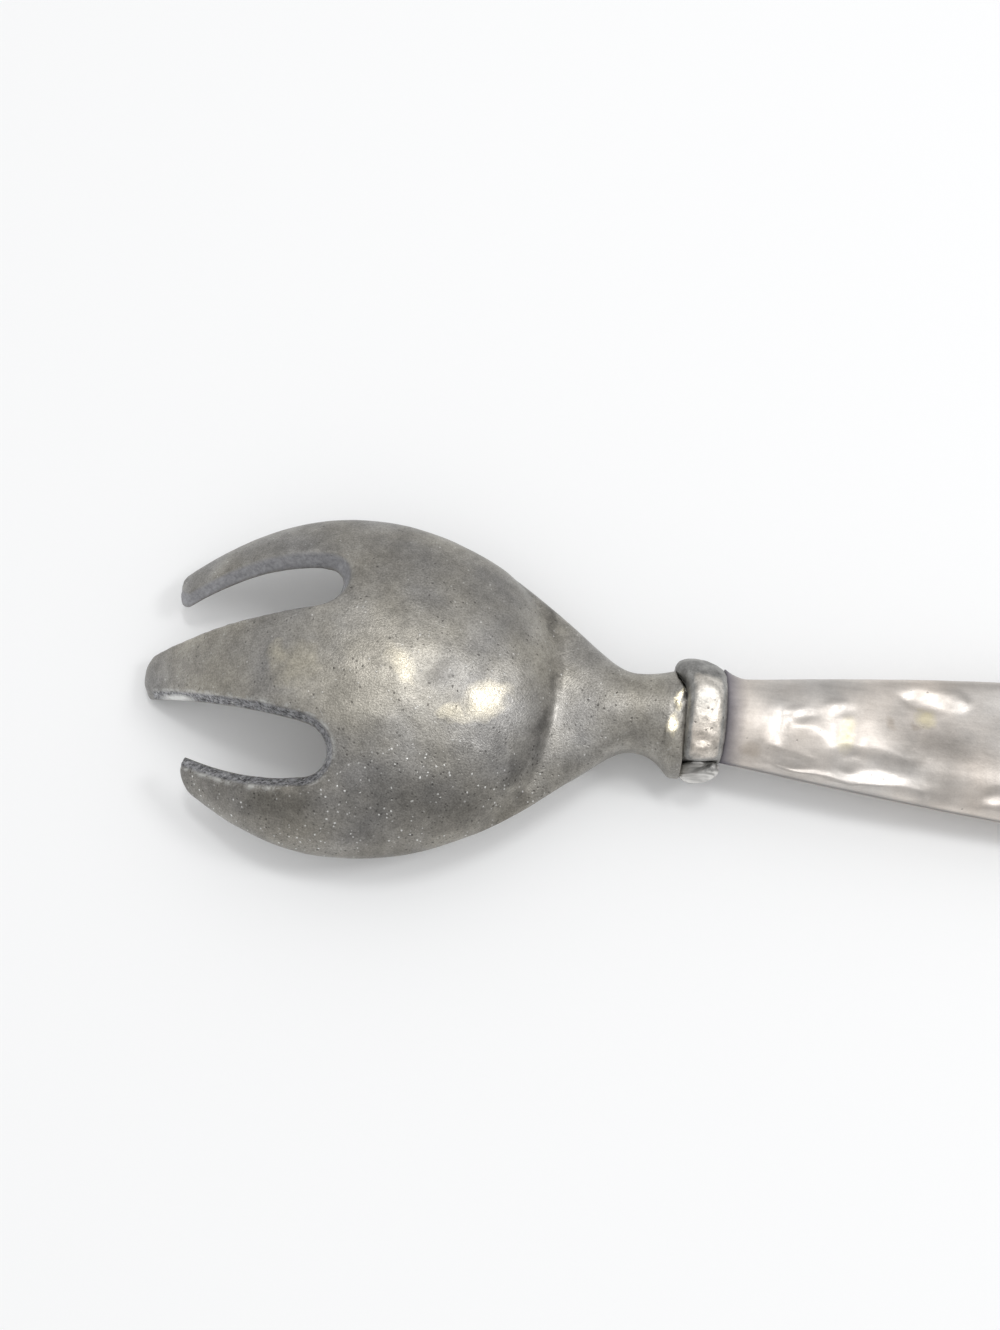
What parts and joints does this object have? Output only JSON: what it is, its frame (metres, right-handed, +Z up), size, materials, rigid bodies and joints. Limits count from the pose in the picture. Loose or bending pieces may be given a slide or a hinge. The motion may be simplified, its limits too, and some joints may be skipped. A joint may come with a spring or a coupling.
{
  "type": "salad serving spoon",
  "caption": "Cast metal salad serving spoon with a domed, slotted and tined bowl, a hollow swelling handle and a bent metal strap over the joint between them.",
  "frame": {"origin": "on the table, under the middle of the spoon's length and width, with the spoon lying face down", "axes": "+X from the tine tips to the end of the handle, +Y across the spoon, +Z up from the table towards the convex back of the bowl"},
  "size_m": [0.2799, 0.065, 0.0267],
  "materials": {
    "cast_skin": "dull pitted casting skin, lightly tarnished",
    "planished_skin": "hammered and polished, with soft dents",
    "strap_metal": "hammered and polished, cut end matt",
    "handle_core": "poured resin",
    "pin_steel": "drawn wire"
  },
  "bodies": {
    "root": {"serving_head": "cast_skin", "collar_strap": "strap_metal", "handle_back_half": "planished_skin", "handle_front_half": "planished_skin", "handle_filler": "handle_core", "tang_pin": "pin_steel"}
  },
  "joints": []
}
